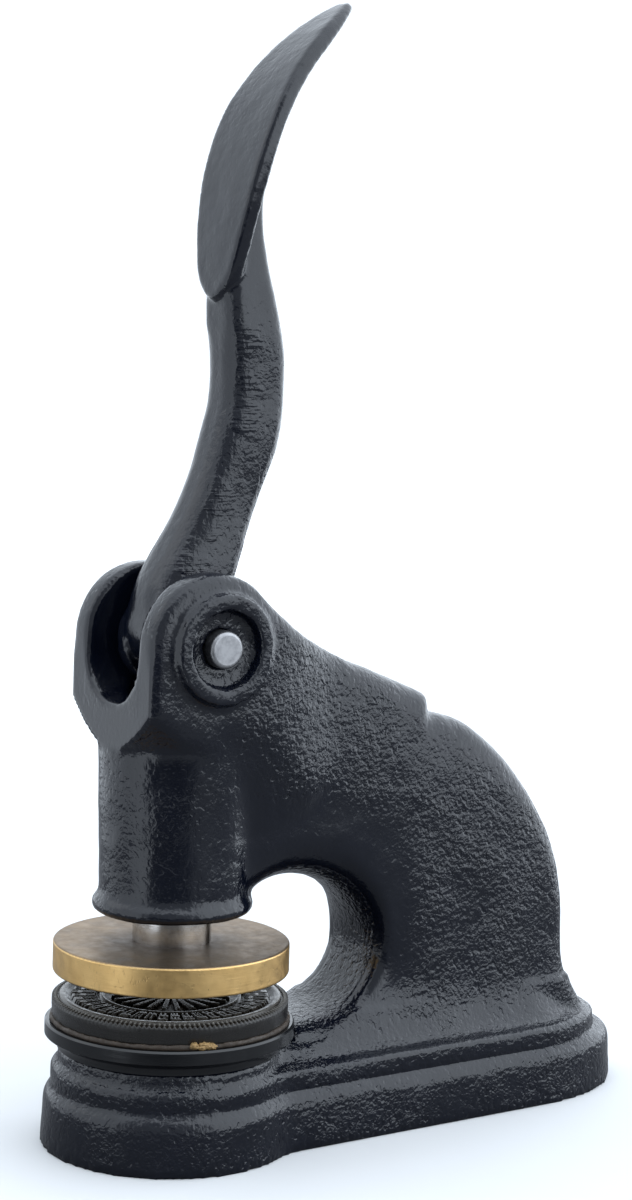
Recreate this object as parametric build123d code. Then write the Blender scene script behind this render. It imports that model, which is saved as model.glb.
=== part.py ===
"""Cast-iron desk seal press.  A hand lever with a cam on its hub pushes a sprung ram down, and the ram closes a
brass upper die on an engraved lower die.

Millimetres, +Z up.  Pieces are modelled about the ram's axis (x = y = 0) with the table at z = 0 and the back of
the press towards +Y.  save() moves each one so that the origin is the middle of the base's footprint."""

from build123d import *
import math
import os

os.makedirs("parts", exist_ok=True)

# ---- driving dimensions -------------------------------------------------------------------------
BASE_LENGTH = 148.0
BASE_NOSE_R = 27.5            # round front end of the plinth
BASE_HALF_WIDTH = 22.0
BASE_TAIL = 33.0              # length of the half-elliptical rear end
PLINTH_TOP = 13.2
MOULDING_TOP = 17.6
PEDESTAL_R = 24.0             # under the bed plate
BASE_REAR = BASE_LENGTH - BASE_NOSE_R
RAM_Y = BASE_NOSE_R - BASE_LENGTH / 2    # the ram's axis in the finished part's frame

POCKET_DEPTH = 9.0            # the cored hollows under the base
POCKET_INSET = 5.5
RIB_Y = 25.0                  # cross rib between the two hollows
RIB_WIDTH = 6.0
PILLAR_R = 9.5

ARM_HALF_WIDTH = 12.5         # thickness of the back and the arm
BACK_TAIL = 16.5              # how far the back's rear is behind the start of the base's tail
HEAD_HALF_WIDTH = 17.5
HEAD_FRONT = -16.4
EAR_R = 15.6                  # round top of the forked head, centred a little in front of the pivot
EAR_Y = HEAD_FRONT + EAR_R
SLOT_HALF_WIDTH = 10.5
SLOT_FLOOR = 96.4
SLOT_BACK = 10.3
NECK_BOTTOM = 50.5
NECK_BOTTOM_R = 15.9
NECK_TOP_R = 16.7
NECK_TOP = 88.0
BEAD_R = 1.8

PIN_Z = 108.9                 # the lever's pivot, straight above the ram
PIN_R = 3.97
PIN_HALF_LENGTH = 19.6
BOSS_R = 11.7
BOSS_FACE = 20.0
BOSS_RECESS_R = 8.2
BOSS_RECESS_FLOOR = 16.8

BED_BOTTOM = 21.0
BED_TOP = 26.8
BED_R = 26.9
SHIM_HEIGHT = 0.8
SHIM_R = 25.3
LOWER_DIE_TOP = 32.3
LOWER_DIE_R = 25.45
TOOTH_COUNT = 120
UPPER_DIE_BOTTOM = 37.5
UPPER_DIE_TOP = 44.0
UPPER_DIE_R = 25.4
SPIGOT_R = 5.0
SPIGOT_LENGTH = 12.0

LEVER_SWING = 85.0            # degrees from upright to pulled down
STROKE = 4.9                  # ram travel over the whole swing
CAM_RATE = STROKE / math.radians(LEVER_SWING)     # mm of ram travel per radian
CAM_BASE_R = 5.8              # from the pivot down to the ram's nose at rest
CAM_GAP = 0.12
HUB_HALF_WIDTH = 8.25
HUB_BORE_R = PIN_R + 0.08
HUB_WASHER_R = 6.8
CAM_HALF_WIDTH = 4.4          # the cam lies between the hub's two round cheeks
CHEEK_R = 10.7                # front and underside of the cheeks
HUB_BACK_R = 8.8

RAM_R = 8.5
RAM_BORE_R = RAM_R + 0.05
RAM_NOSE_R = 4.0              # the nose that the cam pushes, between the cheeks
RAM_HEAD_R = 10.2             # the flange that the spring lifts
RAM_HEAD_BOTTOM = 94.6
RAM_HEAD_TOP = 97.6
RAM_TOP = PIN_Z - CAM_BASE_R - CAM_GAP
SPRING_BORE_R = 10.4
SPRING_BORE_FLOOR = 82.0
SPRING_SEAT_HEIGHT = 1.0
SPRING_WIRE_R = 0.6
SPRING_COILS = 4.5
KEYWAY_HALF_WIDTH = 2.3
KEYWAY_BOTTOM = 61.8
KEYWAY_TOP = 74.0
GUIDE_SCREW_Z = 64.2


# ---- small helpers -------------------------------------------------------------------------------
def save(node, *solids):
    """Write one node: its solids, moved from the ram's axis to the part's origin."""
    moved = [Pos(0, RAM_Y, 0) * solid for solid in solids]
    shape = moved[0] if len(moved) == 1 else Compound(children=moved)
    shape.label = node
    export_step(shape, f"parts/{node}.step")


def disc(radius, bottom, top):
    """An upright cylinder about the ram's axis."""
    return Pos(0, 0, bottom) * Cylinder(radius, top - bottom, align=(Align.CENTER, Align.CENTER, Align.MIN))


def rod(radius, start_x, end_x, y=0.0, z=PIN_Z):
    """A cylinder along X."""
    return Pos((start_x + end_x) / 2, y, z) * Rot(0, 90, 0) * Cylinder(radius, abs(end_x - start_x))


def block(x, y, z):
    """A box from three (low, high) pairs."""
    low, high = zip(x, y, z)
    size = [b - a for a, b in zip(low, high)]
    return Pos(*low) * Box(*size, align=(Align.MIN, Align.MIN, Align.MIN))


def turned(*edges):
    """A solid of revolution about the ram's axis from edges drawn with (radius, z)."""
    return revolve(Plane.XZ * make_face(edges), Axis.Z)


def from_side(edges, half_width, x=0.0):
    """Edges drawn with (y, z), made a face and thickened both ways along X."""
    plane = Plane((x, 0, 0), x_dir=(0, 1, 0), z_dir=(1, 0, 0))
    return extrude(plane * make_face(edges), half_width, both=True)


# ---- base ----------------------------------------------------------------------------------------
def keyhole(nose_r, half_width, tail, blend=13.0):
    """A round nose blended into straight sides, with a half-elliptical tail."""
    tail_y = BASE_REAR - BASE_TAIL
    straight = Pos(0, tail_y / 2) * Rectangle(2 * half_width, tail_y)
    outline = Circle(nose_r) + straight + Pos(0, tail_y) * Ellipse(half_width, tail)
    corners = [v for v in outline.vertices() if 5 < v.Y < 25]
    return fillet(corners, blend)


def footprint(inset):
    """The base's outline, drawn in from its edge."""
    return keyhole(BASE_NOSE_R - inset, BASE_HALF_WIDTH - inset, BASE_TAIL - inset)


def base():
    """The plinth, the moulding on it and the round pedestal under the bed plate."""
    plinth = extrude(footprint(0), PLINTH_TOP, taper=3)
    plinth = fillet(plinth.faces().sort_by(Axis.Z)[-1].edges(), 3.8)
    outline = keyhole(BASE_NOSE_R - 2, BASE_HALF_WIDTH - 1.8, BASE_TAIL - 6)
    moulding = Pos(0, 0, PLINTH_TOP) * extrude(outline, MOULDING_TOP - PLINTH_TOP)
    moulding = fillet(moulding.faces().sort_by(Axis.Z)[-1].edges(), 1.2)
    return plinth + moulding + disc(PEDESTAL_R, MOULDING_TOP - 1, BED_BOTTOM + 1)


def base_hollows():
    """The cored hollows, either side of the cross rib and clear of the bed screw's pillar."""
    hollow = extrude(footprint(POCKET_INSET), POCKET_DEPTH, taper=4)
    rib = block((-30, 30), (RIB_Y - RIB_WIDTH / 2, RIB_Y + RIB_WIDTH / 2), (-1, POCKET_DEPTH + 1))
    return hollow - rib - disc(PILLAR_R, -1, POCKET_DEPTH + 1)


def flare():
    """The hollow curve from the moulding up to the sides and the rear of the back."""
    spread, rise = 6.4, 12.5
    sections = []
    for degrees in range(0, 91, 15):
        sine, cosine = math.sin(math.radians(degrees)), math.cos(math.radians(degrees))
        out = spread * (1 - sine)
        outline = keyhole(PEDESTAL_R - 2, ARM_HALF_WIDTH + out, BACK_TAIL + 1.25 * out, 10.0)
        sections.append(Pos(0, 0, MOULDING_TOP - 0.2 + rise * (1 - cosine)) * outline)
    return loft(sections)


# ---- frame ---------------------------------------------------------------------------------------
def back_and_arm():
    """Side view: the slope from the head, the step at its end, the round back and its foot."""
    slope_start, slope_end, step_foot = (6.0, 120.5), (59.9, 95.0), (60.8, 90.8)
    back, toe = (101.2, 44.0), (113.5, PLINTH_TOP)
    foot, inside_neck = (0, PLINTH_TOP), (0, 112.0)
    edges = [
        Line(foot, inside_neck),
        Line(inside_neck, slope_start),
        Spline(slope_start, (18.3, 112.6), (38.5, 103.6), slope_end),
        Line(slope_end, step_foot),
        Spline(step_foot, (78.6, 82.9), (94.2, 65.2), back, tangents=[(1, -0.12), (0.12, -1)]),
        Spline(back, (103.2, 27.0), (107.9, 19.0), toe, tangents=[(0.12, -1), (0.8, -0.6)]),
        Line(toe, foot),
    ]
    solid = from_side(edges, ARM_HALF_WIDTH)
    outer = [e for e in solid.edges() if abs(abs(e.center().X) - ARM_HALF_WIDTH) < 0.01 and e.center().Y > 12
             and e.center().Z > PLINTH_TOP + 1]
    return fillet(outer, 4.5)


def throat():
    """The round opening behind the dies.  Its wall bulges, so it is tight in the middle and wide at both faces."""
    middle_r, face_r = (18.8, 15.3), (24.0, 22.3)
    middle_y, face_y = 28.6, 25.5
    middle_z, face_z = 40.3, 44.0
    lean = -18.0
    sections = []
    for share in (-1.6, -1.0, -0.93, -0.75, -0.4, 0, 0.4, 0.75, 0.93, 1.0, 1.6):
        flare = 1 - math.sqrt(1 - min(abs(share), 1) ** 2)
        centre = (middle_y + (face_y - middle_y) * flare, middle_z + (face_z - middle_z) * flare)
        plane = Plane((ARM_HALF_WIDTH * share, 0, 0), x_dir=(0, 1, 0), z_dir=(1, 0, 0))
        radii = [m + (f - m) * flare for m, f in zip(middle_r, face_r)]
        sections.append(plane * Pos(*centre) * Rot(0, 0, lean) * Ellipse(*radii))
    opening = block((-30, 30), (-30, middle_y - 5), (BED_BOTTOM + 1.5, NECK_BOTTOM + 3.5))
    return loft(sections) + opening


def neck():
    """The round neck with the bead at its lower end."""
    inner = 5.0
    bead_z = NECK_BOTTOM + BEAD_R
    edge_r = NECK_BOTTOM_R - 0.4
    return turned(
        Line((inner, NECK_BOTTOM), (edge_r, NECK_BOTTOM)),
        ThreePointArc((edge_r, NECK_BOTTOM), (NECK_BOTTOM_R + 1.4, bead_z), (NECK_BOTTOM_R, NECK_BOTTOM + 2 * BEAD_R)),
        Line((NECK_BOTTOM_R, NECK_BOTTOM + 2 * BEAD_R), (NECK_TOP_R, NECK_TOP)),
        Line((NECK_TOP_R, NECK_TOP), (inner, NECK_TOP)),
        Line((inner, NECK_TOP), (inner, NECK_BOTTOM)),
    )


def head():
    """The forked head: flat front, ears round about the pivot.  In front its corners are drawn in to the neck;
    behind it narrows and tapers into the arm."""
    bottom, rear, top = 62.0, 38.0, 140.0
    back_angle = math.radians(40)
    front_angle = math.radians(25)
    ear_back = (EAR_Y + EAR_R * math.sin(back_angle), PIN_Z + EAR_R * math.cos(back_angle))
    ear_front = (EAR_Y - EAR_R * math.sin(front_angle), PIN_Z + EAR_R * math.cos(front_angle))
    side = from_side([
        Line((HEAD_FRONT, bottom), (HEAD_FRONT, PIN_Z)),
        ThreePointArc((HEAD_FRONT, PIN_Z), ear_front, ear_back),
        Spline(ear_back, (18.0, 113.7), (rear, 103.6), tangents=[(math.cos(back_angle), -math.sin(back_angle)),
                                                                 (0.9, -0.43)]),
        Line((rear, 103.6), (rear, 84.0)),
        Line((rear, 84.0), (12.0, bottom)),
        Line((12.0, bottom), (HEAD_FRONT, bottom)),
    ], HEAD_HALF_WIDTH)
    inner = ARM_HALF_WIDTH - 0.2
    plan = extrude(Pos(0, 0, bottom) * make_face([
        Line((-HEAD_HALF_WIDTH, HEAD_FRONT), (HEAD_HALF_WIDTH, HEAD_FRONT)),
        Line((HEAD_HALF_WIDTH, HEAD_FRONT), (HEAD_HALF_WIDTH, 9)),
        Spline((HEAD_HALF_WIDTH, 9), (inner, rear), tangents=[(0, 1), (0, 1)]),
        Line((inner, rear), (-inner, rear)),
        Spline((-inner, rear), (-HEAD_HALF_WIDTH, 9), tangents=[(0, -1), (0, -1)]),
        Line((-HEAD_HALF_WIDTH, 9), (-HEAD_HALF_WIDTH, HEAD_FRONT)),
    ]), top - bottom)
    solid = side & plan
    outer = [e for e in solid.edges() if abs(e.center().X) > 9 and e.center().Z > 90 and e.length > 12
             and e.center().Y < 30]
    solid = fillet(outer, 2.5)
    drawn_in = Pos(0, 0, 82) * Cone(12.5, 58.9, 58, align=(Align.CENTER, Align.CENTER, Align.MIN))
    front = solid & drawn_in & block((-30, 30), (-30, 0), (bottom, top))
    taper = [Line((-11.5, bottom), (11.5, bottom)), Line((11.5, bottom), (HEAD_HALF_WIDTH, 93)),
             Line((HEAD_HALF_WIDTH, 93), (HEAD_HALF_WIDTH, top)), Line((HEAD_HALF_WIDTH, top),
             (-HEAD_HALF_WIDTH, top)), Line((-HEAD_HALF_WIDTH, top), (-HEAD_HALF_WIDTH, 93)),
             Line((-HEAD_HALF_WIDTH, 93), (-11.5, bottom))]
    behind = solid & extrude(Plane.XZ * make_face(taper), -60) & block((-30, 30), (0, 60), (bottom, top))
    return front + behind


def frame():
    """The one-piece casting, machined for the ram, the spring, the pin, the bed plate and its screw."""
    opening = throat()
    shape = (back_and_arm() - opening) + base() + (flare() - opening) + neck() + head()
    shape += [rod(BOSS_R, side * 15, side * BOSS_FACE) for side in (-1, 1)]

    slot = block((-SLOT_HALF_WIDTH, SLOT_HALF_WIDTH), (HEAD_FRONT - 5, SLOT_BACK), (SLOT_FLOOR, 140))
    slot = fillet(slot.faces().sort_by(Axis.Z)[0].edges().filter_by(Axis.Y), 9.5)
    cuts = [
        slot,
        rod(HUB_WASHER_R + 0.3, -SLOT_HALF_WIDTH, SLOT_HALF_WIDTH),
        disc(RAM_BORE_R, NECK_BOTTOM - 5, SLOT_FLOOR),
        disc(SPRING_BORE_R, SPRING_BORE_FLOOR, RAM_TOP + 1.2),
        rod(PIN_R + 0.03, -25, 25),
        disc(BED_R + 0.2, BED_BOTTOM, BED_TOP + 4),
        base_hollows(),
        disc(3.2, -1, BED_BOTTOM + 1),
        disc(6.4, -1, 6.0),
        rod(2.05, -20, -RAM_R + 1, z=GUIDE_SCREW_Z),
        rod(3.3, -20, -NECK_BOTTOM_R + 2.6, z=GUIDE_SCREW_Z),
    ]
    cuts += [rod(BOSS_RECESS_R, side * BOSS_RECESS_FLOOR, side * 25) for side in (-1, 1)]
    cuts += [Pos(x, 0, 0) * disc(2.02, BED_BOTTOM - 5, BED_BOTTOM + 1) for x in (-18, 18)]
    for cut in cuts:
        shape -= cut
    return shape


# ---- bed and lower die ---------------------------------------------------------------------------
def bed_plate():
    """Round plate with an ogee lower edge, tapped for the screw and reamed for two dowels."""
    plate = turned(
        Line((0, BED_BOTTOM), (24.2, BED_BOTTOM)),
        ThreePointArc((24.2, BED_BOTTOM), (24.9, BED_BOTTOM + 1.9), (BED_R, BED_BOTTOM + 2.9)),
        Line((BED_R, BED_BOTTOM + 2.9), (BED_R, BED_TOP - 0.4)),
        Line((BED_R, BED_TOP - 0.4), (BED_R - 0.4, BED_TOP)),
        Line((BED_R - 0.4, BED_TOP), (0, BED_TOP)),
        Line((0, BED_TOP), (0, BED_BOTTOM)),
    )
    holes = [Pos(x, 0, 0) * disc(2.02, BED_BOTTOM - 1, BED_BOTTOM + 4) for x in (-18, 18)]
    return plate - disc(3.02, BED_BOTTOM - 1, BED_TOP - 1) - holes[0] - holes[1]


def bed_screw():
    """Slotted cheese-head screw, driven from below."""
    screw = disc(5.2, 0.9, 4.9) + disc(3.0, 4.9, BED_TOP - 1.5)
    screw = chamfer(screw.faces().sort_by(Axis.Z)[-1].edges(), 0.5)
    return screw - block((-6, 6), (-0.7, 0.7), (0.5, 2.4))


def lower_die():
    """Engraved die: a band of small teeth round the rim, a smooth annulus and two shallow rings."""
    bottom = BED_TOP + SHIM_HEIGHT
    body = turned(
        Line((0, bottom), (LOWER_DIE_R, bottom)),
        Line((LOWER_DIE_R, bottom), (LOWER_DIE_R, bottom + 1.6)),
        Line((LOWER_DIE_R, bottom + 1.6), (LOWER_DIE_R - 0.6, LOWER_DIE_TOP - 1.3)),
        Line((LOWER_DIE_R - 0.6, LOWER_DIE_TOP - 1.3), (LOWER_DIE_R - 1.1, LOWER_DIE_TOP - 0.5)),
        Line((LOWER_DIE_R - 1.1, LOWER_DIE_TOP - 0.5), (20.3, LOWER_DIE_TOP)),
        Line((20.3, LOWER_DIE_TOP), (0, LOWER_DIE_TOP)),
        Line((0, LOWER_DIE_TOP), (0, bottom)),
    )
    half_gap = math.pi * LOWER_DIE_R / TOOTH_COUNT / 2
    notch = Pos(LOWER_DIE_R, 0, LOWER_DIE_TOP) * Box(3.4, 2 * half_gap, 2.6)
    notches = [Rot(0, 0, 360 * i / TOOTH_COUNT) * notch for i in range(TOOTH_COUNT)]
    body -= notches
    for radius in (19.2, 11.0):
        body -= disc(radius, LOWER_DIE_TOP - 0.3, LOWER_DIE_TOP + 1) - disc(radius - 0.8, 0, 40)
    return body


# ---- ram and upper die ---------------------------------------------------------------------------
def ram():
    """Slide with a flanged head and a nose, a keyway for the guide screw and a socket for the die's spigot."""
    slide = disc(RAM_R, UPPER_DIE_TOP, RAM_HEAD_TOP) + disc(RAM_HEAD_R, RAM_HEAD_BOTTOM, RAM_HEAD_TOP)
    slide += disc(RAM_NOSE_R, RAM_HEAD_TOP - 1, RAM_TOP)
    slide = fillet(slide.faces().sort_by(Axis.Z)[-1].edges(), 0.5)
    keyway = block((-12, -RAM_R + 2.6), (-KEYWAY_HALF_WIDTH, KEYWAY_HALF_WIDTH), (KEYWAY_BOTTOM, KEYWAY_TOP))
    socket = disc(SPIGOT_R + 0.02, UPPER_DIE_TOP - 1, UPPER_DIE_TOP + SPIGOT_LENGTH + 0.5)
    return slide - keyway - socket - set_screw_hole()


def set_screw_hole():
    """Radial hole at the back of the ram's lower end."""
    return Pos(0, 8, UPPER_DIE_TOP + 3.2) * Rot(90, 0, 0) * Cylinder(1.52, 8)


def upper_die():
    """Brass disc with a spigot that goes up into the ram."""
    plate = disc(UPPER_DIE_R, UPPER_DIE_BOTTOM, UPPER_DIE_TOP)
    plate = fillet(plate.edges().filter_by(GeomType.CIRCLE), 0.5)
    spigot = disc(SPIGOT_R, UPPER_DIE_TOP - 1, UPPER_DIE_TOP + SPIGOT_LENGTH)
    return plate + chamfer(spigot.faces().sort_by(Axis.Z)[-1].edges(), 0.6)


def upper_die_screw():
    """Slotted grub screw that bears on the spigot."""
    length = RAM_R - SPIGOT_R - 0.4
    screw = Cylinder(1.5, length) - Pos(0, 0, length / 2) * Box(4, 0.5, 1.4)
    return Pos(0, SPIGOT_R + 0.02 + length / 2, UPPER_DIE_TOP + 3.2) * Rot(-90, 0, 0) * screw


def return_spring():
    """Open coil spring between its seat and the ram's head."""
    start = SPRING_BORE_FLOOR + SPRING_SEAT_HEIGHT + SPRING_WIRE_R + 0.02
    end = RAM_HEAD_BOTTOM - SPRING_WIRE_R - 0.02
    radius = (RAM_R + SPRING_BORE_R) / 2 + 0.02
    path = Helix((end - start) / SPRING_COILS, end - start, radius)
    wire = Plane(origin=path @ 0, z_dir=path % 0) * Circle(SPRING_WIRE_R)
    return Pos(0, 0, start) * sweep(wire, path, is_frenet=True)


def guide_screw():
    """Dog-point screw.  Its dog runs in the ram's keyway, which keeps the ram square and stops its rise."""
    tip, shoulder, face = -RAM_R + 0.4, -RAM_R - 1.2, -NECK_BOTTOM_R - 1.2
    screw = rod(1.95, shoulder, tip, z=GUIDE_SCREW_Z) + rod(2.0, -NECK_BOTTOM_R + 2.5, shoulder, z=GUIDE_SCREW_Z)
    screw += rod(3.2, face, -NECK_BOTTOM_R + 2.5, z=GUIDE_SCREW_Z)
    return screw - block((face - 1, face + 1.1), (-4, 4), (GUIDE_SCREW_Z - 0.4, GUIDE_SCREW_Z + 0.4))


# ---- lever and pivot -----------------------------------------------------------------------------
def cam_point(degrees):
    """A point of the cam whose lift on a flat follower grows evenly with the lever's angle."""
    angle = math.radians(degrees)
    reach = CAM_BASE_R + CAM_RATE * angle
    y = -reach * math.sin(angle) - CAM_RATE * math.cos(angle)
    z = -reach * math.cos(angle) + CAM_RATE * math.sin(angle)
    return (y, PIN_Z + z)


def hub_point(radius, degrees):
    """A point of the hub's outline by its radius and its angle forward from straight down."""
    angle = math.radians(degrees)
    return (-radius * math.sin(angle), PIN_Z - radius * math.cos(angle))


def hub():
    """The lever's hub: a cam in the middle, between two cheeks that are round in front and below."""
    back_high = hub_point(HUB_BACK_R, -112)
    cam = [cam_point(a) for a in range(-15, 91, 7)]
    back_low = hub_point(HUB_BACK_R, -52)
    shape = from_side([
        Spline(*cam),
        Spline(cam[-1], (-9.4, 114.6), (-1.0, 118.6), back_high, tangents=[(0.1, 1), (0.5, -1)]),
        ThreePointArc(back_high, hub_point(HUB_BACK_R, -82), back_low),
        Line(back_low, cam[0]),
    ], CAM_HALF_WIDTH)
    front_high, front_low, under = hub_point(CHEEK_R, 128), hub_point(CHEEK_R, 22), hub_point(HUB_BACK_R, -22)
    cheek = [
        ThreePointArc(front_high, hub_point(CHEEK_R, 75), front_low),
        Spline(front_low, under, tangents=[(0.93, -0.37), (0.93, 0.37)]),
        ThreePointArc(under, hub_point(HUB_BACK_R, -67), back_high),
        Spline(back_high, (-1.0, 118.8), front_high, tangents=[(-0.5, 1), (-0.75, -0.75)]),
    ]
    half = (HUB_HALF_WIDTH - CAM_HALF_WIDTH) / 2
    for side in (-1, 1):
        shape += from_side(cheek, half, side * (CAM_HALF_WIDTH + half))
    return shape


def shank():
    """The curved shank from the hub to the back of the leaf, where it thins to a rib behind the grip."""
    stations = [       # height, front, back, half width
        (113.0, -10.0, 8.2, 8.2),
        (119.5, -9.3, 9.4, 8.2),
        (126.0, -6.3, 11.6, 7.8),
        (133.0, -2.0, 14.0, 7.0),
        (146.0, 3.9, 19.2, 6.7),
        (160.0, 7.7, 22.0, 6.6),
        (171.0, 7.6, 21.7, 6.6),
        (185.0, 7.2, 18.3, 6.0),
        (200.0, 9.2, 15.8, 5.0),
        (215.0, 13.2, 18.9, 4.0),
        (226.0, 18.6, 22.0, 2.8),
    ]
    sections = []
    for height, front, back, half_width in stations:
        depth = back - front
        corner = 0.27 * min(depth, 2 * half_width)
        outline = RectangleRounded(2 * half_width, depth, corner)
        sections.append(Pos(0, (front + back) / 2, height) * outline)
    return loft(sections)


def leaf():
    """The leaf-shaped grip: a curved plate cut to a leaf outline, its point over the shank."""
    front = [(5.6, 180.0), (6.3, 189.0), (8.9, 205.0), (15.5, 223.0), (27.3, 237.6), (37.2, 245.0)]
    back = [(38.4, 243.6), (29.6, 235.2), (18.4, 221.3), (12.4, 203.9), (10.0, 188.6), (9.2, 180.0)]
    plate = from_side([Spline(*front), Line(front[-1], back[0]), Spline(*back), Line(back[-1], front[0])], 14)
    edge = Spline((0, 180.6), (5.6, 184.2), (8.3, 191.0), (9.9, 199.0), (10.9, 207.5), (11.2, 216.0), (10.4, 225.0),
                  (8.7, 233.5), (5.6, 241.0), (0.6, 246.0))
    outline = make_face([edge, Line((0.6, 246.0), (-0.6, 246.0)), mirror(edge, Plane.YZ)])
    outline = extrude(Plane.XZ * outline, 80, both=True)
    plate &= outline
    return fillet([e for e in plate.edges() if e.length > 40], 0.8)


def lever():
    """Hub, shank and leaf in one casting, bored for the pin."""
    shape = hub() + (shank() + leaf())
    return shape - rod(HUB_BORE_R, -20, 20)


def pivot_pin():
    """Plain pin with slightly domed ends."""
    pin = rod(PIN_R, -PIN_HALF_LENGTH, PIN_HALF_LENGTH)
    return fillet(pin.edges().filter_by(GeomType.CIRCLE), 0.9)


def hub_washer(side):
    """One of the two spacers between the hub and the ears."""
    inner, outer = HUB_HALF_WIDTH + 0.1, SLOT_HALF_WIDTH - 0.05
    start, end = sorted((side * inner, side * outer))
    return rod(HUB_WASHER_R, start, end) - rod(PIN_R + 0.05, start - 1, end + 1)


def main():
    save("frame", frame())
    save("bed_plate", bed_plate())
    save("bed_dowels", *[Pos(x, 0, 0) * disc(2.0, BED_BOTTOM - 4.8, BED_BOTTOM + 3.8) for x in (-18, 18)])
    save("bed_screw", bed_screw())
    save("bed_washer", disc(6.0, 5.0, 5.98) - disc(3.15, 4, 7))
    save("die_shim", disc(SHIM_R, BED_TOP, BED_TOP + SHIM_HEIGHT))
    save("lower_die", lower_die())
    save("ram", ram())
    save("return_spring", return_spring())
    save("spring_seat", disc(SPRING_BORE_R - 0.1, SPRING_BORE_FLOOR, SPRING_BORE_FLOOR + SPRING_SEAT_HEIGHT)
         - disc(RAM_R + 0.15, 80, 90))
    save("guide_screw", guide_screw())
    save("upper_die", upper_die())
    save("upper_die_screw", upper_die_screw())
    save("pivot_pin", pivot_pin())
    save("hub_washers", hub_washer(-1), hub_washer(1))
    save("lever", lever())


if __name__ == "__main__":
    main()
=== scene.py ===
"""Cast-iron desk seal press: the looks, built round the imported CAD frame.

Metres throughout, in the frame's own axes.  Lengths written as NUMBER * MM are millimetres."""

import math

import bmesh
import bpy
import numpy as np
from mathutils import Matrix, Vector, noise
from mathutils.kdtree import KDTree


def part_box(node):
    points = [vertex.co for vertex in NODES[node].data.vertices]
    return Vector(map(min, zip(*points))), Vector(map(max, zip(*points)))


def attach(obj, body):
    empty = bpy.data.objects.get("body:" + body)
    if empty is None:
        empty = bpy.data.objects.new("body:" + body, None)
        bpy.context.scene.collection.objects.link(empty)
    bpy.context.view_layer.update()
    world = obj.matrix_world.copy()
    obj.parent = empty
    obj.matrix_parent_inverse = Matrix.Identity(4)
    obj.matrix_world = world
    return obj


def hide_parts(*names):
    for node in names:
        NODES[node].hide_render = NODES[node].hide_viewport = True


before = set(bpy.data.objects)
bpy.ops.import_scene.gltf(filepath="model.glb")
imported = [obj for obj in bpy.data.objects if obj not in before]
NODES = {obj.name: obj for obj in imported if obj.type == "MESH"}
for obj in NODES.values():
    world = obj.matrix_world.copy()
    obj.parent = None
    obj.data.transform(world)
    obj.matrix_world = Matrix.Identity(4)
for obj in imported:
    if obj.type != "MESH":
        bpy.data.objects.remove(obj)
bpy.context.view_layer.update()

MM = 0.001

# ---- places, from the CAD nodes --------------------------------------------------------------------
RAM_LOW, RAM_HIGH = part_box("ram")
AXIS_Y = (RAM_LOW.y + RAM_HIGH.y) / 2            # the ram's axis, along Z through x = 0
PIN_LOW, PIN_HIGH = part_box("pivot_pin")
PIN_Z = (PIN_LOW.z + PIN_HIGH.z) / 2
DIE_LOW, DIE_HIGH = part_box("lower_die")
SHIM_LOW, SHIM_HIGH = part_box("die_shim")
DIE_R = DIE_HIGH.x
CAMERA_AZIMUTH = math.radians(55.7)              # azimuths go from -Y towards +X
OPEN_AZIMUTH = math.radians(92)                  # the middle of the surroundings' dark side

# ---- shapes, in millimetres: heights are above the floor, reaches behind the ram's axis ------------
BASE_TOP = 19
BORE_RADIUS, BORE_BOTTOM = 11.2, 45              # the ram's bore, with its skin
NECK_TOP = 86                                    # where the forked head begins
SLOT_HALF, SLOT_FLOOR, SLOT_BACK = 10.9, 94, 12  # the head's slot
HEAD_FLAT_REACH = -16.4                          # the flat front of the forked head
BACK_STEP = (56, 65)                             # reaches of the step on top of the back
THROAT_REACH, THROAT_HEIGHT = 25.5, 44.0         # the middle of the throat's round end
BACK_CROWN, CROWN_WIDTH = 1.7, 22                # how far, and how wide, the back's sides lean in
LEVER_BORE_RADIUS, HUB_RADIUS = 4.6, 14.5        # round the pin

# ---- the lower die's toothed rim -------------------------------------------------------------------
TEETH = 150
TOOTH_PROFILE = (1.0, 0.8, 0.25, 0.0, 0.25, 0.8)    # the height of each step around, from a tooth's tip
AROUND = TEETH * len(TOOTH_PROFILE)


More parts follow.
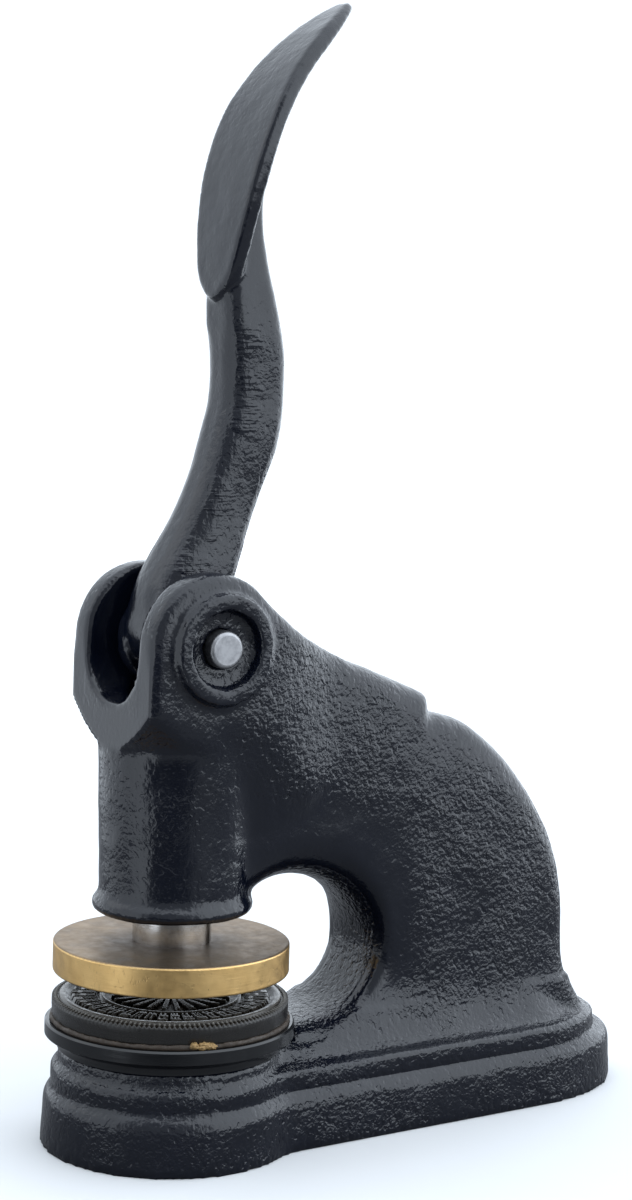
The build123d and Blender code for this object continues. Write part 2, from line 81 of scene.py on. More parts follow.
# ---- node materials --------------------------------------------------------------------------------
class Maker:
    """A short way to write one node material."""

    def __init__(self, name):
        self.material = bpy.data.materials.new(name)
        self.material.use_nodes = True
        self.tree = self.material.node_tree
        self.shader = self.tree.nodes["Principled BSDF"]
        coords = self.tree.nodes.new("ShaderNodeTexCoord")
        scale = self.tree.nodes.new("ShaderNodeVectorMath")
        scale.operation = "SCALE"
        scale.inputs["Scale"].default_value = 1000.0
        self.tree.links.new(coords.outputs["Object"], scale.inputs[0])
        self.mm = scale.outputs[0]               # the place on the object in millimetres

    def node(self, kind, **settings):
        n = self.tree.nodes.new("ShaderNode" + kind)
        for key, value in settings.items():
            setattr(n, key, value)
        return n

    def wire(self, value, socket):
        """Links a socket's value, or sets a plain one."""
        if isinstance(value, bpy.types.NodeSocket):
            self.tree.links.new(value, socket)
        else:
            socket.default_value = value

    def set(self, **values):
        for name, value in values.items():
            self.wire(value, self.shader.inputs[name.replace("_", " ")])

    def stretch(self, factors):
        n = self.node("VectorMath", operation="MULTIPLY")
        self.wire(self.mm, n.inputs[0])
        n.inputs[1].default_value = factors
        return n.outputs[0]

    def noise(self, size, detail=2.0, rough=0.5, vector=None, distort=0.0):
        """Noise whose lumps are about size millimetres across, from 0 to 1."""
        n = self.node("TexNoise")
        self.wire(vector or self.mm, n.inputs["Vector"])
        n.inputs["Scale"].default_value = 1.0 / size
        n.inputs["Detail"].default_value = detail
        n.inputs["Roughness"].default_value = rough
        n.inputs["Distortion"].default_value = distort
        return n.outputs["Fac"]

    def ramp(self, value, low, high, out_low=0.0, out_high=1.0):
        n = self.node("MapRange")
        self.wire(value, n.inputs["Value"])
        n.inputs["From Min"].default_value = low
        n.inputs["From Max"].default_value = high
        n.inputs["To Min"].default_value = out_low
        n.inputs["To Max"].default_value = out_high
        return n.outputs["Result"]

    def math(self, operation, a, b=0.0):
        n = self.node("Math", operation=operation)
        self.wire(a, n.inputs[0])
        self.wire(b, n.inputs[1])
        return n.outputs[0]

    def mix(self, factor, a, b):
        n = self.node("Mix", data_type="RGBA")
        self.wire(factor, n.inputs["Factor"])
        colours = [s for s in n.inputs if s.type == "RGBA"]
        for value, socket in zip((a, b), colours):
            self.wire(value if isinstance(value, bpy.types.NodeSocket) else (*value, 1.0), socket)
        return next(s for s in n.outputs if s.type == "RGBA")

    def part(self, letter, vector=None):
        n = self.node("SeparateXYZ")
        self.wire(vector or self.mm, n.inputs[0])
        return n.outputs[letter]

    def normal_part(self, letter):
        n = self.node("NewGeometry")
        return self.part(letter, n.outputs["Normal"])

    def off_axis(self):
        """The distance from the ram's axis, in millimetres."""
        n = self.node("VectorMath", operation="DISTANCE")
        self.wire(self.stretch((1.0, 1.0, 0.0)), n.inputs[0])
        n.inputs[1].default_value = (0.0, AXIS_Y / MM, 0.0)
        return n.outputs["Value"]

    def bump(self, height, depth):
        """Raises the surface by depth millimetres where height is 1."""
        n = self.node("Bump")
        n.inputs["Distance"].default_value = depth * MM
        self.wire(height, n.inputs["Height"])
        self.wire(n.outputs["Normal"], self.shader.inputs["Normal"])


def enamel(name, grain, low_rough, high_rough):
    """Gloss black enamel over sand-cast iron; grain is how deep the casting's skin shows, in millimetres.

    The mesh says where the skin is coarse, with its "grain" attribute, and where it is scored across,
    with "marks"."""
    m = Maker(name)
    lumps = m.noise(1.1, 2.0, 0.55)
    swell = m.noise(3.2, 2.0, 0.5)
    fine = m.noise(0.5, 2.0, 0.5)
    pits = m.ramp(m.noise(1.1, 0.5, 0.5, m.stretch((1.0, 1.0, 0.85))), 0.30, 0.44, -1.0, 0.0)
    skin = m.math("ADD", m.math("MULTIPLY", lumps, 1.2), m.math("MULTIPLY", swell, 0.8))
    skin = m.math("ADD", skin, m.math("MULTIPLY", fine, 0.16))
    skin = m.math("ADD", skin, m.math("MULTIPLY", pits, 0.42))
    coarse = m.node("Attribute", attribute_name="grain").outputs["Fac"]
    patch = m.ramp(m.noise(15.0, 1.0), 0.36, 0.62, 0.45, 1.0)
    skin = m.math("MULTIPLY", skin, m.math("MULTIPLY", patch, coarse))
    scored = m.node("Attribute", attribute_name="marks").outputs["Fac"]
    ticks = m.noise(0.75, 1.0, 0.5, m.stretch((0.15, 0.16, 1.0)))
    skin = m.math("ADD", skin, m.math("MULTIPLY", m.math("MULTIPLY", ticks, 2.2), scored))
    m.bump(skin, grain)
    tint = m.mix(m.noise(11.0, 3.0), (0.0015, 0.0025, 0.0060), (0.0030, 0.0044, 0.0105))
    dust = m.ramp(m.noise(2.2, 4.0, 0.7), 0.68, 0.80, 0.0, 0.3)
    colour = m.mix(dust, tint, (0.018, 0.019, 0.022))
    rough = m.ramp(m.noise(6.0, 3.0, 0.6), 0.3, 0.7, low_rough, high_rough)
    m.set(Base_Color=colour, Roughness=rough, IOR=1.5)
    return m.material


def steel(name, colour, dark, low_rough, high_rough, turned=True):
    """Machined steel with fine tool marks and a little staining."""
    m = Maker(name)
    lines = m.noise(0.22, 2.0, 0.6, m.stretch((0.05, 0.05, 1.0) if turned else (1.0, 0.12, 0.12)))
    stain = m.ramp(m.noise(2.6, 4.0, 0.65), 0.45, 0.75)
    m.set(Base_Color=m.mix(stain, colour, dark), Metallic=1.0,
          Roughness=m.ramp(m.noise(3.0, 3.0, 0.6), 0.3, 0.7, low_rough, high_rough))
    m.bump(lines, 0.012)
    return m.material


def brass_material():
    """Satin brass: golden on its turned rim, and tan, scratched and stained on top, with painted shade
    round the ram's foot.
    """
    m = Maker("brass")
    up = m.ramp(m.math("ABSOLUTE", m.normal_part("Z")), 0.45, 0.75)
    rim = m.mix(m.noise(4.5, 3.0, 0.6), (0.58, 0.360, 0.135), (0.84, 0.570, 0.245))
    tarnish = m.ramp(m.noise(9.0, 4.0, 0.62, distort=0.4), 0.35, 0.7)
    flat = m.mix(tarnish, (0.27, 0.195, 0.122), (0.15, 0.108, 0.070))
    # painted shade: the top is darkened towards the ram, standing in for the shade round its foot
    ram_shade_reach = m.math("ADD", m.off_axis(), m.math("MULTIPLY", m.noise(5.0, 3.0), 8.0))
    flat = m.mix(m.ramp(ram_shade_reach, 13.0, 20.0, 0.65, 0.0), flat, (0.075, 0.052, 0.036))
    colour = m.mix(up, rim, flat)
    spots = m.ramp(m.noise(0.9, 3.0, 0.7), 0.70, 0.76)
    colour = m.mix(m.math("MULTIPLY", spots, 0.75), colour, (0.10, 0.062, 0.035))
    scratch = m.ramp(m.noise(0.5, 2.0, 0.6, m.stretch((1.0, 0.09, 0.3))), 0.60, 0.72)
    colour = m.mix(m.math("MULTIPLY", scratch, 0.25), colour, (0.16, 0.11, 0.07))
    rough = m.ramp(m.noise(2.5, 3.0, 0.6), 0.3, 0.7, 0.30, 0.44)
    rough = m.math("ADD", rough, m.math("MULTIPLY", up, 0.10))
    m.set(Base_Color=colour, Metallic=1.0, Roughness=rough)
    turned = m.noise(0.35, 2.0, 0.6, m.stretch((0.06, 0.06, 1.0)))
    height = m.math("ADD", turned, m.math("MULTIPLY", scratch, -1.2))
    m.bump(height, 0.018)
    return m.material


def die_material():
    """Dark engraved die: grey worn lands, worn tips on its teeth lightened as painted highlights, black
    pits, faint turning lines.
    """
    m = Maker("die_steel")
    z = m.part("Z")
    top = DIE_HIGH.z / MM
    land = m.ramp(z, top - 0.55, top - 0.10)
    side = m.mix(m.noise(5.0, 3.0), (0.008, 0.0075, 0.007), (0.020, 0.018, 0.016))
    # past this radius the teeth's tips are worn, and also painted light grey as a painted highlight for
    # their glints
    reeds = m.ramp(m.off_axis(), DIE_R / MM - 1.6, DIE_R / MM - 1.2)
    wear_and_glints = m.mix(m.noise(1.2, 3.0, 0.7), (0.045, 0.044, 0.042), (0.12, 0.105, 0.085))
    wear_and_glints = m.mix(reeds, wear_and_glints, m.mix(m.noise(1.0, 2.0, 0.6), (0.22, 0.215, 0.20), (0.48, 0.46, 0.42)))
    up = m.ramp(m.normal_part("Z"), 0.3, 0.8)
    pits = m.mix(m.noise(0.8, 2.0), (0.006, 0.006, 0.006), (0.030, 0.022, 0.014))
    top_colour = m.mix(land, pits, wear_and_glints)
    colour = m.mix(m.math("MAXIMUM", up, m.ramp(z, top - 0.7, top - 0.5)), side, top_colour)
    lines = m.noise(0.5, 3.0, 0.6, m.stretch((0.06, 0.06, 1.0)))
    m.set(Base_Color=colour, Roughness=m.ramp(m.noise(2.0, 3.0), 0.3, 0.7, 0.20, 0.36))
    m.bump(lines, 0.05)
    return m.material


def black_steel_material():
    """Smooth satin black bed plate, with faint turning lines."""
    m = Maker("black_steel")
    colour = m.mix(m.noise(6.0, 3.0), (0.0025, 0.003, 0.004), (0.007, 0.0072, 0.008))
    lines = m.noise(0.6, 2.0, 0.6, m.stretch((0.08, 0.08, 1.0)))
    m.set(Base_Color=colour, Roughness=m.ramp(m.noise(3.5, 3.0), 0.3, 0.7, 0.13, 0.24), IOR=1.5)
    m.bump(lines, 0.02)
    return m.material


def cement_material():
    """Brown-black cement that the die is bedded on."""
    m = Maker("cement")
    colour = m.mix(m.noise(1.6, 4.0, 0.7), (0.010, 0.007, 0.005), (0.055, 0.036, 0.022))
    m.set(Base_Color=colour, Roughness=m.ramp(m.noise(1.0, 2.0), 0.3, 0.7, 0.45, 0.8))
    m.bump(m.noise(0.5, 3.0, 0.6), 0.12)
    return m.material


def residue_material():
    """A crust of old gold-coloured filings and wax."""
    m = Maker("residue")
    colour = m.mix(m.noise(0.5, 3.0, 0.7), (0.10, 0.055, 0.020), (0.55, 0.36, 0.15))
    m.set(Base_Color=colour, Roughness=m.ramp(m.noise(0.4, 2.0), 0.3, 0.7, 0.4, 0.75), Metallic=0.3)
    m.bump(m.noise(0.3, 3.0, 0.6), 0.10)
    return m.material


# ---- meshes ----------------------------------------------------------------------------------------
def new_object(name, mesh, material):
    obj = bpy.data.objects.new(name, mesh)
    bpy.context.scene.collection.objects.link(obj)
    mesh.materials.append(material)
    mesh.polygons.foreach_set("use_smooth", [True] * len(mesh.polygons))
    return obj


def points_of(mesh):
    co = np.empty(len(mesh.vertices) * 3)
    mesh.vertices.foreach_get("co", co)
    return co.reshape(-1, 3)


def in_mm(co):
    """Each point's place across, behind the ram's axis and up, in millimetres."""
    return co[:, 0] / MM, (co[:, 1] - AXIS_Y) / MM, co[:, 2] / MM


def normals_of(mesh):
    out = np.empty(len(mesh.vertices) * 3)
    mesh.vertices.foreach_get("normal", out)
    return out.reshape(-1, 3)


def put_points(mesh, co):
    mesh.vertices.foreach_set("co", co.ravel())
    mesh.update()


def remeshed(node, voxel):
    """The CAD node's shape as an even quad mesh."""
    source = NODES[node]
    obj = bpy.data.objects.new("tmp", source.data.copy())
    bpy.context.scene.collection.objects.link(obj)
    bm = bmesh.new()
    bm.from_mesh(obj.data)
    bmesh.ops.remove_doubles(bm, verts=bm.verts, dist=1e-7)
    bm.to_mesh(obj.data)
    bm.free()
    mod = obj.modifiers.new("even", "REMESH")
    mod.mode, mod.voxel_size, mod.adaptivity = "VOXEL", voxel, 0.0
    graph = bpy.context.evaluated_depsgraph_get()
    mesh = bpy.data.meshes.new_from_object(obj.evaluated_get(graph))
    bpy.data.objects.remove(obj)
    mesh.materials.clear()
    return mesh


def smoothed(mesh, co, weight, rounds):
    """Relaxes each point towards its neighbours' middle by its own weight, a step for each of rounds."""
    edges = np.empty(len(mesh.edges) * 2, np.int64)
    mesh.edges.foreach_get("vertices", edges)
    a, b = edges[::2], edges[1::2]
    count = np.bincount(a, minlength=len(co)) + np.bincount(b, minlength=len(co))
    for step in rounds:
        total = np.empty_like(co)
        for k in range(3):
            total[:, k] = np.bincount(a, co[b, k], len(co)) + np.bincount(b, co[a, k], len(co))
        co = co + (total / count[:, None] - co) * (weight * step)[:, None]
    return co


EVEN_OUT = [0.5, -0.52] * 4 + [0.5] * 2          # rounds that even out the remesh and hardly shrink it


def put_attribute(mesh, name, values):
    mesh.attributes.new(name, "FLOAT", "POINT").data.foreach_set("value", np.asarray(values, np.float32))


def dent(co, place, radius, depth):
    """A small pit in the skin, pushed towards x = 0; place is across, behind the ram's axis and up."""
    across, behind, up = place
    where = np.array([across * MM, AXIS_Y + behind * MM, up * MM])
    away = np.linalg.norm(co - where, axis=1) / (radius * MM)
    co[:, 0] -= np.sign(where[0]) * depth * MM * np.exp(-away ** 2 * 1.6)


def band(value, low, high):
    """0 at low and 1 at high, easing between."""
    t = np.clip((value - low) / (high - low), 0, 1)
    return t * t * (3 - 2 * t)


def lumpiness(co, size, seed, octaves=2):
    """Fractal noise for each point, about -1 to 1."""
    shift = Vector((seed * 3.7, seed * 1.3, seed * 2.1))
    scale = 1.0 / (size * MM)
    return np.array([noise.fractal(Vector(p) * scale + shift, 0.9, 2.0, octaves) for p in co])


def casting():
    """The frame as one even skin, its joins melted together and its faces slightly uneven."""
    mesh = remeshed("frame", 0.80 * MM)
    co = points_of(mesh)
    x, y, z = in_mm(co)
    side = np.abs(x)
    radius = np.hypot(x, y)
    bore = (radius < BORE_RADIUS) & (z > BORE_BOTTOM)
    front_flat = (y < HEAD_FLAT_REACH + 0.5) & (z > NECK_TOP)
    in_slot = (side < SLOT_HALF) & (z > SLOT_FLOOR) & (y < SLOT_BACK)
    on_base = z < BASE_TOP
    back_step = (y > BACK_STEP[0]) & (y < BACK_STEP[1]) & (z > NECK_TOP)

    # how much each point is evened out, and how much the joins of neck, back and base melt together
    keep = np.ones(len(co))
    keep[on_base] = 0.22
    keep[back_step] = 0.35
    keep[bore | in_slot | (z < 0.25)] = 0.12
    keep[front_flat] = (0.10 + 0.90 * band(z, 100, 111))[front_flat]
    co = smoothed(mesh, co, keep, EVEN_OUT)
    melt = band(side, 10.8, 12.5) * band(z, 55, 64) * (1 - band(z, 92, 97))
    melt = np.maximum(melt, band(y, 8, 14) * band(z, 50, 60) * 0.8)
    melt = np.maximum(melt, band(z, 20, 24) * (1 - band(z, 34, 44)) * band(y, 24, 30) * 0.8)
    melt[back_step] = 0.1
    melt[bore | in_slot | front_flat] = 0
    co = smoothed(mesh, co, melt, [0.6] * 14)
    put_points(mesh, co)

    # the sides of the back lean in towards the top and rear outline
    normals = normals_of(mesh)
    faces_out = (normals[:, 2] > 0.25) | (normals[:, 1] > 0.5)
    outline = (side < 0.5) & (y > 12) & (z > 30) & faces_out & (radius > 30)
    tree = KDTree(int(outline.sum()))
    for k, index in enumerate(np.flatnonzero(outline)):
        tree.insert(Vector((0, co[index, 1], co[index, 2])), k)
    tree.balance()
    for index in np.flatnonzero((side > 4) & (y > 14) & (z > 26)):
        away = tree.find(Vector((0, co[index, 1], co[index, 2])))[2] / MM
        if away < CROWN_WIDTH:
            crown = BACK_CROWN * (1 - away / CROWN_WIDTH) ** 2 * min(1.0, (y[index] - 14) / 16)
            co[index, 0] -= math.copysign(crown * min(1.0, (side[index] - 4) / 5) * MM, co[index, 0])
    put_points(mesh, co)

    # the head's front is ground flat, and the rest of the skin is uneven
    normals = normals_of(mesh)
    flat_face = front_flat & (normals[:, 1] < -0.75)
    ground = np.where(flat_face, 1 - band(z, 103, 110), 0)
    co[:, 1] += (AXIS_Y + HEAD_FLAT_REACH * MM - co[:, 1]) * ground
    dent(co, (12.6, 24.6, 105.3), 1.1, 0.9)
    dent(co, (17.4, -14.6, 91.2), 1.7, 1.1)
    calm = np.ones(len(co))
    calm[bore | in_slot | (z < 0.6) | front_flat] = 0
    calm[on_base & (y < 20)] = 0.6
    uneven = lumpiness(co, 13.0, 1, 2) * 0.16 + lumpiness(co, 3.6, 2, 2) * 0.06
    co = co + normals * (uneven * calm * MM)[:, None]
    put_points(mesh, co)

    # the skin is finer round the neck, the throat, the head, the top of the back and the base
    rim = np.hypot(y - THROAT_REACH, z - THROAT_HEIGHT)
    grain = np.ones(len(co))
    head = band(z, NECK_TOP, NECK_TOP + 6)
    grain *= 1 - 0.66 * (1 - band(radius, 17.5, 22)) * (1 - head) * band(z, 22, 30)
    grain *= 1 - 0.62 * head * (1 - band(y, 2, 12))
    grain *= 1 - 0.80 * (side > 9) * (1 - band(rim, 27, 38)) * band(z, 24, 30) * band(y, 8, 12)
    grain *= 1 - 0.45 * band(y, 40, 60) * band(z, 70, 84)
    grain *= 1 - 0.45 * (1 - band(z, 10, 20)) * (1 - 0.4 * band(y, 10, 40))
    grain[front_flat] = 0.08
    grain[in_slot | bore] = 0.15
    grain[(np.hypot(y, z - PIN_Z / MM) < 8.4) & (side > 14)] = 0.8
    put_attribute(mesh, "grain", grain)
    obj = new_object("frame_casting", mesh, ENAMEL)
    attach(obj, "frame")
    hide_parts("frame")


def hand_lever():
    """The lever as one casting: hub, shank and leaf run into each other."""
    mesh = remeshed("lever", 0.55 * MM)
    co = points_of(mesh)
    x, y, z = in_mm(co)
    reach = np.hypot(y, z - PIN_Z / MM)
    bore = reach < LEVER_BORE_RADIUS
    keep = np.ones(len(co))
    keep[bore] = 0.0
    co = smoothed(mesh, co, keep, EVEN_OUT)

    # the hub runs into the shank, and the shank's front edges and the leaf's tip are rounded over
    melt = band(z, 110, 116) * (1 - band(z, 140, 150)) * (1 - bore)
    co = smoothed(mesh, co, melt, [0.6] * 12)
    shank_front = np.interp(z, [113, 133, 146, 160, 171], [-10, -2, 3.9, 7.7, 7.6])
    behind = y - shank_front
    front_edges = band(z, 113, 118) * (1 - band(z, 170, 176)) * band(np.abs(x), 1.5, 4)
    co = smoothed(mesh, co, front_edges * (1 - band(behind, 4.5, 7.5)), [0.9] * 45)
    leaf_tip = 0.8 * band(z, 222, 232)
    co = smoothed(mesh, co, leaf_tip, [0.6] * 6)
    put_points(mesh, co)

    # the cast skin is uneven, but for the hub, and the shank has a row of score marks on its right
    normals = normals_of(mesh)
    calm = np.ones(len(co))
    calm[bore | ((reach < HUB_RADIUS) & (z < 118))] = 0.0
    uneven = lumpiness(co, 9.0, 5, 2) * 0.10 + lumpiness(co, 2.6, 6, 2) * 0.045
    co = co + normals * (uneven * calm * MM)[:, None]
    put_points(mesh, co)
    put_attribute(mesh, "grain", 0.35 + 0.65 * (1 - band(z, 172, 186)) * band(np.abs(x), 3.5, 6))
    scored = band(z, 112, 118) * (1 - band(z, 172, 178)) * band(x, 4.8, 6.2) * (1 - band(behind, 5.5, 8.5))
    put_attribute(mesh, "marks", scored * band(lumpiness(co, 6.0, 9, 1), -0.25, 0.15))
    obj = new_object("hand_lever", mesh, LEVER_ENAMEL)
    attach(obj, "lever")
    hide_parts("lever")


def relief(rng):
    """Made-up engraving for the lower die.

    Returns its height, from 0 (floor) to 1 (land), for a radius in mm and a step around."""
    border, border_foot, ring, line, line_foot = 22.4, 21.9, 15.2, 14.5, 13.6    # their inner radii
    rays_from, rays_to, boss = 4.2, 12.8, 3.2
    cells, ray_count = 46, 24
    marks = rng.random((cells, 6))
    rays = rng.random(ray_count)

    def height(r, step):
        turn = step / AROUND
        if r > border:
            return 1.0
        if r > border_foot:
            return 0.35
        if r > ring:
            cell = int(turn * cells)
            t = turn * cells - cell
            mark = marks[cell]
            inside = (r - 15.6) / 6.0
            if not 0.05 < inside < 0.95 or not 0.10 < t < 0.88:
                return 0.0
            bars = 2 + int(mark[0] * 2)
            stroke = (t - 0.10) / 0.78 * bars
            upright = stroke - int(stroke) < 0.48
            cross = abs(inside - 0.2 - 0.6 * mark[1]) < 0.11 or (mark[2] > 0.5 and inside > 0.80)
            return 0.95 if upright or cross else 0.0
        if r > line:
            return 0.9
        if r > line_foot:
            return 0.0
        ray = int(turn * ray_count)
        t = abs(turn * ray_count - ray - 0.5) * 2
        wide = 0.75 - 0.045 * r + 0.1 * rays[ray]
        if rays_from < r < rays_to and t < wide:
            return 0.8
        if r < boss:
            return 0.85
        return 0.05
    return height


def round_axis(r, angle, z):
    """A point r millimetres from the ram's axis, at z in metres."""
    return r * MM * math.cos(angle), AXIS_Y + r * MM * math.sin(angle), z


def ring_of(bm, r, z_at):
    """One vertex for each step around, at the height that z_at gives the step."""
    return [bm.verts.new(round_axis(r, 2 * math.pi * step / AROUND, z_at(step)))
            for step in range(AROUND)]


def join_rings(bm, inner, outer):
    for step in range(AROUND):
        after = (step + 1) % AROUND
        bm.faces.new((inner[step], outer[step], outer[after], inner[after]))


def closed_fan(bm, ring, z):
    middle = bm.verts.new((0, AXIS_Y, z))
    for step in range(AROUND):
        after = (step + 1) % AROUND
        bm.faces.new((middle, ring[step], ring[after]))


def finished(bm, name, material):
    bmesh.ops.recalc_face_normals(bm, faces=bm.faces)
    mesh = bpy.data.meshes.new(name)
    bm.to_mesh(mesh)
    bm.free()
    return new_object(name, mesh, material)


def engraved_die():
    """The lower die: reeded rim, smooth border, engraved ring and centre."""
    height = relief(np.random.default_rng(11))
    top, low, r_out = DIE_HIGH.z, DIE_LOW.z, DIE_R / MM
    rim = r_out - 1.3

    def z_of(r, step):
        if r > rim + 0.01:
            tooth = TOOTH_PROFILE[step % len(TOOTH_PROFILE)]
            fall = (r - rim) / (r_out - 0.05 - rim)
            return top - (0.10 + 0.55 * (1 - tooth) + 0.45 * fall) * MM
        if r > rim - 0.35:
            return top - 0.75 * MM
        return top - (0.15 + 0.85 * (1 - height(r, step))) * MM

    # a ring of points on each side of every edge of the engraving, and evenly between
    radii = [1.0, 2.0, 3.1, 3.3, 4.1, 4.3]
    radii += [4.3 + 8.4 * k / 8 for k in range(1, 9)]
    radii += [12.9, 13.5, 13.7, 14.4, 14.6, 15.1, 15.3]
    radii += [15.8 + 5.6 * k / 14 for k in range(15)]
    radii += [21.85, 22.0, 22.35, 22.5, 23.2, rim - 0.40, rim - 0.30, rim]
    radii += [rim + 0.15, rim + 0.55, r_out - 0.35, r_out - 0.05]
    side = [(r_out, top - 1.25 * MM), (r_out, top - 2.4 * MM), (r_out - 0.04, top - 2.5 * MM),
            (r_out - 0.04, low + 0.5 * MM), (r_out - 0.25, low)]
    bm = bmesh.new()
    rings = [ring_of(bm, r, lambda step: z_of(r, step)) for r in sorted(radii)]
    rings += [ring_of(bm, r, lambda step: z) for r, z in side]
    closed_fan(bm, rings[0], z_of(0.0, 0))
    for inner, outer in zip(rings, rings[1:]):
        join_rings(bm, inner, outer)
    closed_fan(bm, rings[-1], low)
    obj = finished(bm, "engraved_die", DIE)
    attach(obj, "frame")
    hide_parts("lower_die")


def cement_line():
    """The cement that squeezed out under the lower die, and a gold-coloured crust on its right."""
    rng = np.random.default_rng(4)
    shift = Vector((rng.random() * 50, 3.1, 7.7))
    bm = bmesh.new()
    rings = []
    count = 360
    for k in range(count):
        a = 2 * math.pi * k / count
        out = Vector((math.cos(a), math.sin(a), 0))
        wobble = noise.fractal(out * 9 + shift, 0.8, 2.0, 3)
        swell = noise.fractal(out * 30 + shift, 0.8, 2.0, 2)
        r = DIE_R / MM + 0.28 + 0.16 * wobble + 0.08 * swell
        low, high = SHIM_LOW.z / MM + 0.01, SHIM_HIGH.z / MM + 0.25 + 0.25 * wobble
        profile = [(r - 3.0, low), (r, low), (r + 0.14, (low * 2 + high) / 3), (r, high - 0.15),
                   (r - 0.28, high), (r - 3.0, high - 0.5)]
        rings.append([bm.verts.new(round_axis(p, a, h * MM)) for p, h in profile])
    for k in range(count):
        here, there = rings[k], rings[(k + 1) % count]
        for j in range(len(here)):
            after = (j + 1) % len(here)
            bm.faces.new((here[j], there[j], there[after], here[after]))
    obj = finished(bm, "die_cement", CEMENT)
    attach(obj, "frame")
    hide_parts("die_shim")

    bm = bmesh.new()
    for k in range(16):
        a = math.radians(-16.3 + 11.5 * (rng.random() - 0.5))
        lump = (0.35 + 0.55 * rng.random()) * MM
        place = Vector((math.cos(a), math.sin(a), 0)) * (DIE_R + 0.22 * MM)
        place += Vector((0, AXIS_Y, SHIM_HIGH.z + (0.55 * rng.random() - 0.25) * MM))
        flattened = Matrix.Translation(place) @ Matrix.Diagonal((1, 1, 0.75, 1))
        made = bmesh.ops.create_icosphere(bm, subdivisions=3, radius=lump, matrix=flattened)
        for v in made["verts"]:
            v.co += (v.co - place) * 0.5 * noise.noise(v.co / (0.35 * MM))
    crust = finished(bm, "die_crust", RESIDUE)
    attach(crust, "frame")


# ---- light, floor and camera -----------------------------------------------------------------------
def towards(azimuth, level=1.0, up=0.0):
    """A direction for azimuth, with its level part level long."""
    return level * math.sin(azimuth), -level * math.cos(azimuth), up


def surroundings():
    """White surroundings: brightest at the back right, dark low down on one side, dim round the camera.

    The camera itself sees them plain white."""
    world = bpy.data.worlds.new("studio")
    bpy.context.scene.world = world
    world.use_nodes = True
    tree = world.node_tree
    background = tree.nodes["Background"]
    coords = tree.nodes.new("ShaderNodeTexCoord")

    def falloff(direction, low, high, at_low, at_high):
        """Eases from at_low to at_high as the view's part along direction goes from low to high."""
        along = tree.nodes.new("ShaderNodeVectorMath")
        along.operation = "DOT_PRODUCT"
        along.inputs[1].default_value = direction
        tree.links.new(coords.outputs["Generated"], along.inputs[0])
        shade = tree.nodes.new("ShaderNodeMapRange")
        shade.interpolation_type = "SMOOTHSTEP"
        limits = {"From Min": low, "From Max": high, "To Min": at_low, "To Max": at_high}
        for name, value in limits.items():
            shade.inputs[name].default_value = value
        tree.links.new(along.outputs["Value"], shade.inputs["Value"])
        return shade.outputs["Result"]

    def combined(operation, *values):
        n = tree.nodes.new("ShaderNodeMath")
        n.operation = operation
        for value, socket in zip(values, n.inputs):
            if isinstance(value, bpy.types.NodeSocket):
                tree.links.new(value, socket)
            else:
                socket.default_value = value
        return n.outputs[0]

    wall = falloff((0.82, 0.56, 0), -0.9, 0.5, 1.4, 2.6)
    open_side = falloff(towards(OPEN_AZIMUTH), 0.20, 0.40, 0.0, 1.0)
    low = falloff((0, 0, 1), -0.16, -0.01, 0.82, 0.0)
    lit = combined("SUBTRACT", 1.0, combined("MULTIPLY", open_side, low))
    facing = falloff(towards(CAMERA_AZIMUTH, 0.977, 0.21), 0.64, 0.90, 1.0, 0.24)
    strength = combined("MULTIPLY", combined("MULTIPLY", wall, lit), facing)
    path = tree.nodes.new("ShaderNodeLightPath")
    seen = tree.nodes.new("ShaderNodeMix")
    tree.links.new(path.outputs["Is Camera Ray"], seen.inputs["Factor"])
    tree.links.new(strength, seen.inputs["A"])
    seen.inputs["B"].default_value = 1.3
    tree.links.new(seen.outputs["Result"], background.inputs["Strength"])
    background.inputs["Color"].default_value = (0.84, 0.915, 1.0, 1.0)


def paper_floor():
    """A pale floor that turns white far off, as the camera sees it; to other rays it is dark, so that it
    lights the press little."""
    bm = bmesh.new()
    left, right, near, far = -0.28, 0.30, -0.13, 1.60
    corners = ((left, near, 0), (right, near, 0), (right, far, 0), (left, far, 0))
    bm.faces.new([bm.verts.new(corner) for corner in corners])
    bmesh.ops.subdivide_edges(bm, edges=bm.edges, cuts=7, use_grid_fill=True)
    mesh = bpy.data.meshes.new("floor")
    bm.to_mesh(mesh)
    bm.free()
    m = Maker("floor")
    paper = m.mix(m.noise(60.0, 3.0), (0.66, 0.665, 0.67), (0.70, 0.705, 0.71))
    away = m.node("VectorMath", operation="LENGTH")
    m.wire(m.mm, away.inputs[0])
    beyond = m.ramp(away.outputs["Value"], 250.0, 700.0)
    pale = m.mix(beyond, paper, (0.97, 0.97, 0.97))
    camera_ray = m.node("LightPath").outputs["Is Camera Ray"]
    m.set(Base_Color=m.mix(camera_ray, (0.15, 0.15, 0.155), pale), Roughness=0.8)
    floor = new_object("floor", mesh, m.material)
    floor.rotation_euler.z = CAMERA_AZIMUTH
    floor.location.z = -0.05 * MM


def key_light():
    """A large soft light, high on the front left."""
    light = bpy.data.lights.new("key", "AREA")
    light.shape, light.size, light.size_y = "RECTANGLE", 0.8, 0.8
    light.energy = 0.9
    obj = bpy.data.objects.new("key", light)
    bpy.context.scene.collection.objects.link(obj)
    obj.location = (-0.75, -0.95, 0.95)
    target = Vector((0, 0, 0.10))
    obj.rotation_euler = (target - obj.location).to_track_quat("-Z", "Y").to_euler()


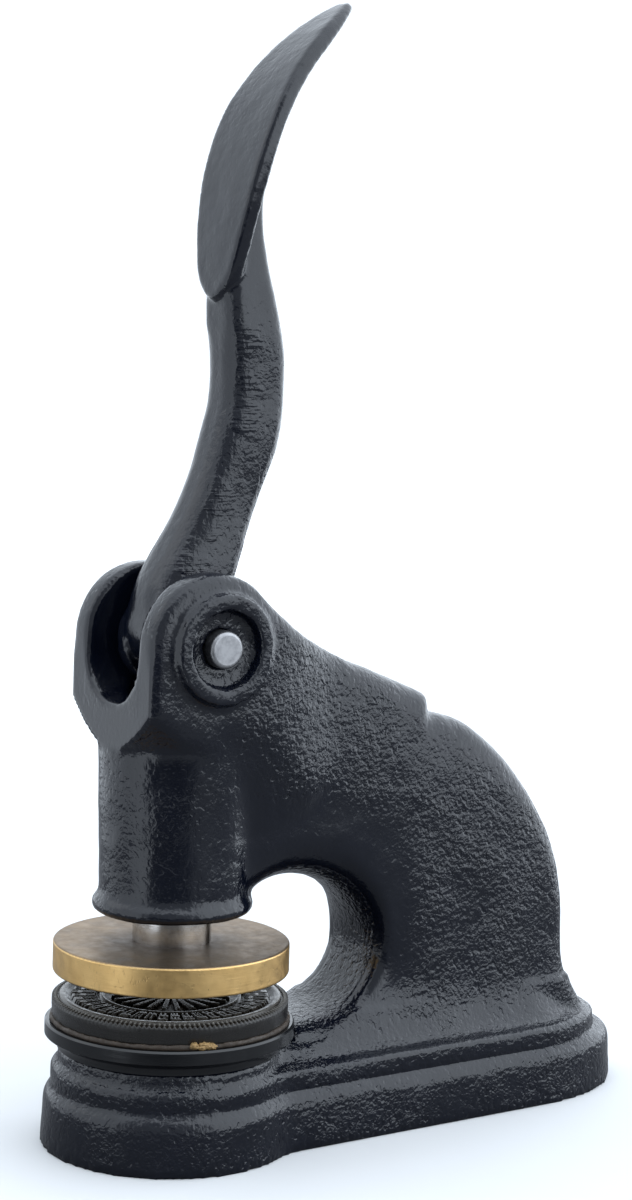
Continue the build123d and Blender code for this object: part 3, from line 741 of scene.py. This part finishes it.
def camera():
    """The camera, by where it looks from: azimuth, height, roll and distance."""
    height, roll, distance = math.radians(6.2), math.radians(1.74), 554.6 * MM
    back = Vector(towards(CAMERA_AZIMUTH, math.cos(height), math.sin(height)))
    right = Vector((math.cos(CAMERA_AZIMUTH), math.sin(CAMERA_AZIMUTH), 0))
    up = back.cross(right)
    turned_right = right * math.cos(roll) + up * math.sin(roll)
    turned_up = up * math.cos(roll) - right * math.sin(roll)
    target = Vector((0, AXIS_Y + 34.85 * MM, 116.02 * MM))
    data = bpy.data.cameras.new("camera")
    data.sensor_width, data.lens = 36.0, 75.76
    data.clip_start, data.clip_end = 0.02, 20.0
    obj = bpy.data.objects.new("camera", data)
    bpy.context.scene.collection.objects.link(obj)
    turn = Matrix((turned_right, turned_up, back)).transposed().to_4x4()
    obj.matrix_world = Matrix.Translation(target + back * distance) @ turn
    bpy.context.scene.camera = obj


# ---- the model -------------------------------------------------------------------------------------
camera()
surroundings()
paper_floor()
key_light()
bpy.context.scene.view_settings.view_transform = "Standard"

ENAMEL = enamel("enamel_cast", 0.37, 0.10, 0.20)
LEVER_ENAMEL = enamel("enamel_lever", 0.16, 0.10, 0.22)
BRASS = brass_material()
DIE = die_material()
BLACK = black_steel_material()
CEMENT = cement_material()
RESIDUE = residue_material()
BRIGHT = steel("bright_steel", (0.52, 0.51, 0.50), (0.34, 0.32, 0.30), 0.14, 0.26)
PIN_STEEL = steel("pin_steel", (0.36, 0.36, 0.37), (0.20, 0.20, 0.21), 0.30, 0.46, turned=False)
PLAIN = steel("plain_steel", (0.40, 0.40, 0.41), (0.22, 0.21, 0.20), 0.28, 0.45)

casting()
hand_lever()
engraved_die()
cement_line()

for node, material in (
    ("bed_plate", BLACK), ("ram", BRIGHT), ("pivot_pin", PIN_STEEL), ("upper_die", BRASS),
    ("upper_die_screw", PLAIN), ("bed_dowels", PLAIN), ("bed_screw", PLAIN), ("bed_washer", PLAIN),
    ("spring_seat", PLAIN), ("return_spring", PLAIN), ("guide_screw", PLAIN), ("hub_washers", PLAIN),
):
    slots = NODES[node].data.materials
    if len(slots) == 0:
        slots.append(material)
    for k in range(len(slots)):
        slots[k] = material
